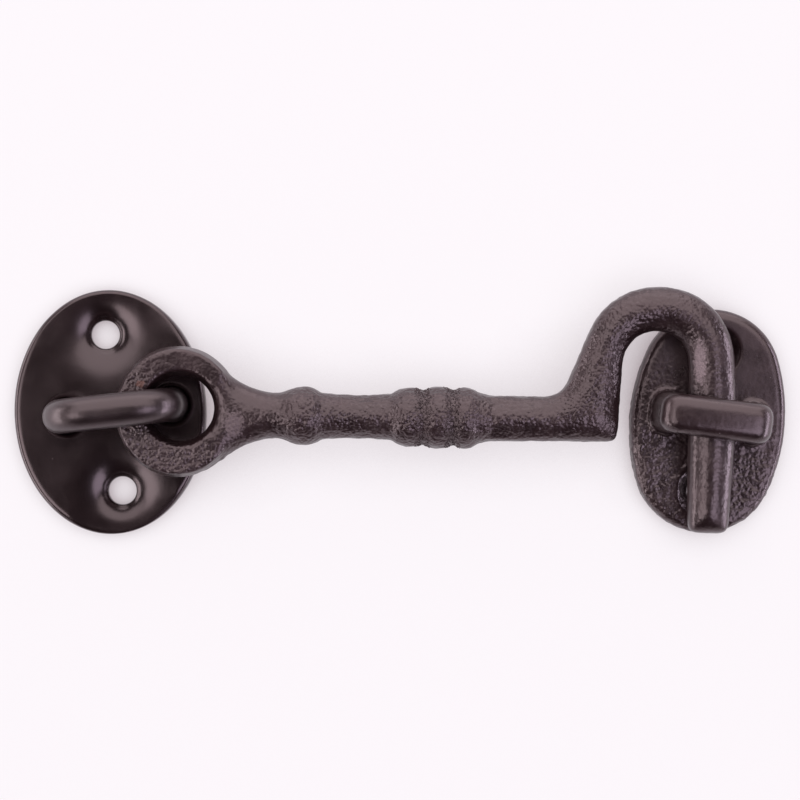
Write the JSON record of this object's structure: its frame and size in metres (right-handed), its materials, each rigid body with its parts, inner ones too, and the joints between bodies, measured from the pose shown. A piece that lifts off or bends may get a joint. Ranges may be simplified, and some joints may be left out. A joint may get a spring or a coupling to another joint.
{
  "type": "cabin hook",
  "caption": "Black painted iron cabin hook: a cast beaded arm with a swan-neck hook hangs on a stapled oval eye plate and drops behind the bridge of an oval keeper plate.",
  "frame": {"origin": "midway between the eye plate's two screws, on the surface that both plates are screwed to", "axes": "+X along the arm from the eye plate to the keeper, +Y the way the hook lifts, +Z out of the surface"},
  "size_m": [0.1281, 0.041, 0.0181],
  "materials": {
    "pressed_black_paint": "smooth satin black paint on pressed steel, with small specks and a chipped rim",
    "bar_black_paint": "smooth satin black paint on bent steel bar",
    "cast_black_paint": "satin black paint over rough cast iron, with pits and small glints"
  },
  "bodies": {
    "plates": {"eye_plate": "pressed_black_paint", "eye_staple": "bar_black_paint", "keeper_plate": "cast_black_paint"},
    "hook": {"hook_arm": "cast_black_paint"}
  },
  "joints": [
    {"name": "hook_lift", "type": "hinge", "parent": "plates", "child": "hook", "pos_m": [0.01188, 0.00076, 0.00875], "axis": [0, 0, 1], "range_deg": [-5.5, 145]}
  ]
}
